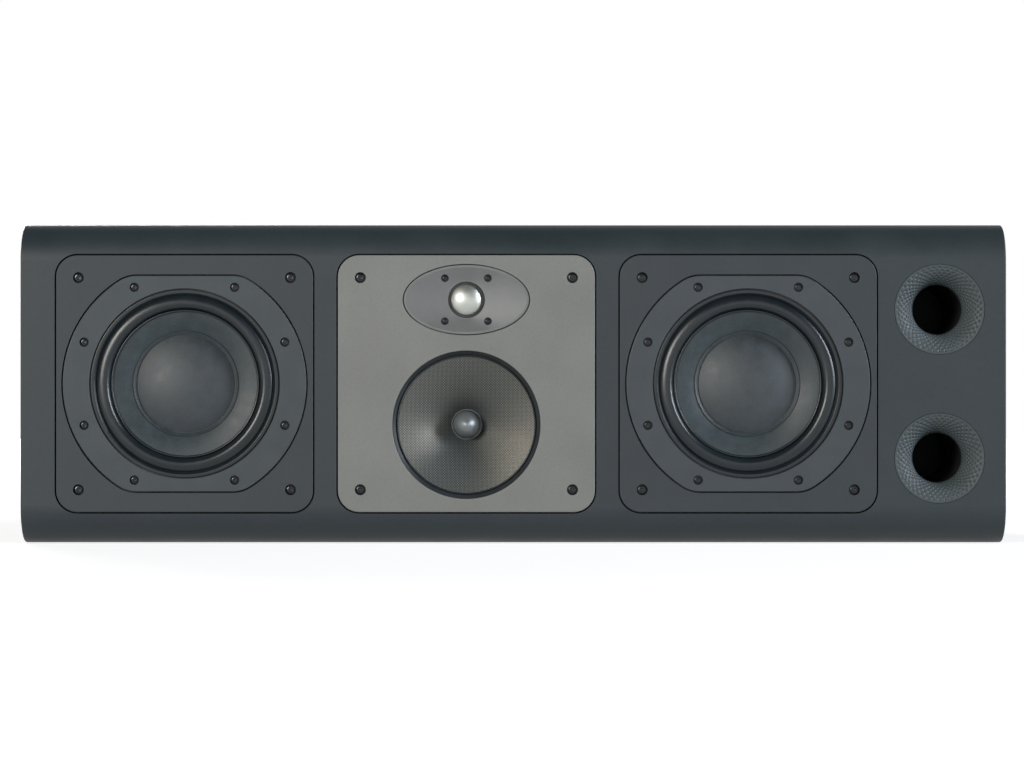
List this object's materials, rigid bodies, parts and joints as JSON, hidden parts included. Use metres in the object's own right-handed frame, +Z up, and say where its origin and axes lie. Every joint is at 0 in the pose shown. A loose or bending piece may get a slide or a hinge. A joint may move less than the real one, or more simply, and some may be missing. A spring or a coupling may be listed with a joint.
{
  "type": "three-way loudspeaker",
  "caption": "Wide loudspeaker cabinet with rolled front edges: bass units either side of a woven-cone midrange and oval tweeter plate, with flared ports at one end and a terminal tray behind.",
  "frame": {"origin": "middle of the cabinet's underside", "axes": "+X to the right seen from the front, +Y from the front to the back, +Z up"},
  "size_m": [0.99, 0.3, 0.322],
  "materials": {
    "cabinet_paint": "satin paint, dark slate grey",
    "bare_board": "raw fibreboard",
    "plate_paint": "satin paint, dark slate grey",
    "cast_metal": "satin paint, dark slate grey",
    "soft_rubber": "satin",
    "pulp": "matt",
    "copper_wire": "enamelled",
    "treated_cloth": "resin-treated",
    "steel": "zinc plated",
    "ferrite": "matt",
    "panel_metal": "satin, warm grey",
    "foam": "matt",
    "woven_fibre": "woven, dark grey with a golden sheen",
    "plug_metal": "satin",
    "oval_metal": "satin, blue grey",
    "bright_metal": "satin silver",
    "port_plastic": "satin",
    "black_plastic": "fine grained",
    "red_plastic": "gloss",
    "gloss_black": "gloss",
    "plated_brass": "gold plated",
    "black_steel": "black oxide",
    "circuit_board": "lacquered",
    "capacitor_sleeve": "gloss",
    "cable_sheath": "matt"
  },
  "bodies": {
    "cabinet": {"bass_left_chassis": "cast_metal", "bass_left_front_plate": "steel", "bass_left_magnet": "ferrite", "bass_left_plate": "plate_paint", "bass_left_pole_plate": "steel", "bass_left_spider": "treated_cloth", "bass_left_surround": "soft_rubber", "bass_right_chassis": "cast_metal", "bass_right_front_plate": "steel", "bass_right_magnet": "ferrite", "bass_right_plate": "plate_paint", "bass_right_pole_plate": "steel", "bass_right_spider": "treated_cloth", "bass_right_surround": "soft_rubber", "bottom_panel": "cabinet_paint", "crossover_board": "circuit_board", "crossover_capacitors": "capacitor_sleeve", "crossover_coils": "copper_wire", "front_baffle": "cabinet_paint", "internal_leads": "cable_sheath", "left_end_panel": "cabinet_paint", "lower_port": "port_plastic", "mid_chamber": "bare_board", "mid_chassis": "cast_metal", "mid_edge_ring": "foam", "mid_front_plate": "steel", "mid_magnet": "ferrite", "mid_panel": "panel_metal", "mid_pole_plate": "steel", "mid_spider": "treated_cloth", "phase_plug": "plug_metal", "plate_screws": "black_steel", "rear_panel": "cabinet_paint", "right_end_panel": "cabinet_paint", "terminal_nuts": "plated_brass", "terminal_posts": "plated_brass", "terminal_tray": "black_plastic", "top_panel": "cabinet_paint", "tweeter_faceplate": "oval_metal", "tweeter_motor": "steel", "tweeter_screws": "black_steel", "tweeter_surround": "foam", "tweeter_tube": "plug_metal", "unit_screws": "black_steel", "upper_port": "port_plastic", "window_braces": "bare_board"},
    "bass_left_moving": {"bass_left_cone": "pulp", "bass_left_dust_cap": "pulp", "bass_left_voice_coil": "copper_wire"},
    "bass_right_moving": {"bass_right_cone": "pulp", "bass_right_dust_cap": "pulp", "bass_right_voice_coil": "copper_wire"},
    "mid_moving": {"mid_cone": "woven_fibre", "mid_voice_coil": "copper_wire"},
    "tweeter_moving": {"tweeter_dome": "bright_metal", "tweeter_voice_coil": "bright_metal"},
    "red_washer_body": {"red_washer": "plated_brass"},
    "red_knob_body": {"red_knob": "red_plastic"},
    "black_washer_body": {"black_washer": "plated_brass"},
    "black_knob_body": {"black_knob": "gloss_black"}
  },
  "joints": [
    {"name": "bass_left_travel", "type": "slide", "parent": "cabinet", "child": "bass_left_moving", "axis": [0, -1, 0], "range_m": [-0.004, 0.004], "stiffness_N_per_m": 1700, "deforming": ["bass_left_surround", "bass_left_spider"]},
    {"name": "bass_right_travel", "type": "slide", "parent": "cabinet", "child": "bass_right_moving", "axis": [0, -1, 0], "range_m": [-0.004, 0.004], "stiffness_N_per_m": 1700, "deforming": ["bass_right_surround", "bass_right_spider"]},
    {"name": "mid_travel", "type": "slide", "parent": "cabinet", "child": "mid_moving", "axis": [0, -1, 0], "range_m": [-0.0015, 0.0015], "stiffness_N_per_m": 900, "deforming": ["mid_edge_ring", "mid_spider"]},
    {"name": "tweeter_travel", "type": "slide", "parent": "cabinet", "child": "tweeter_moving", "axis": [0, -1, 0], "range_m": [-0.0004, 0.0004], "stiffness_N_per_m": 50, "deforming": ["tweeter_surround"]},
    {"name": "red_washer_lift", "type": "slide", "parent": "cabinet", "child": "red_washer_body", "axis": [0, 1, 0], "range_m": [0, 0.004]},
    {"name": "red_knob_turn", "type": "hinge", "parent": "red_washer_body", "child": "red_knob_body", "pos_m": [0.0095, 0.118, 0.161], "axis": [0, 1, 0], "range_deg": [0, 1441]},
    {"name": "black_washer_lift", "type": "slide", "parent": "cabinet", "child": "black_washer_body", "axis": [0, 1, 0], "range_m": [0, 0.004]},
    {"name": "black_knob_turn", "type": "hinge", "parent": "black_washer_body", "child": "black_knob_body", "pos_m": [-0.0095, 0.118, 0.161], "axis": [0, 1, 0], "range_deg": [0, 1441]}
  ],
  "couplings": [
    {"joint": "red_knob_turn", "follows": "red_washer_lift", "rad_per_m": 6283.2},
    {"joint": "black_knob_turn", "follows": "black_washer_lift", "rad_per_m": 6283.2}
  ]
}
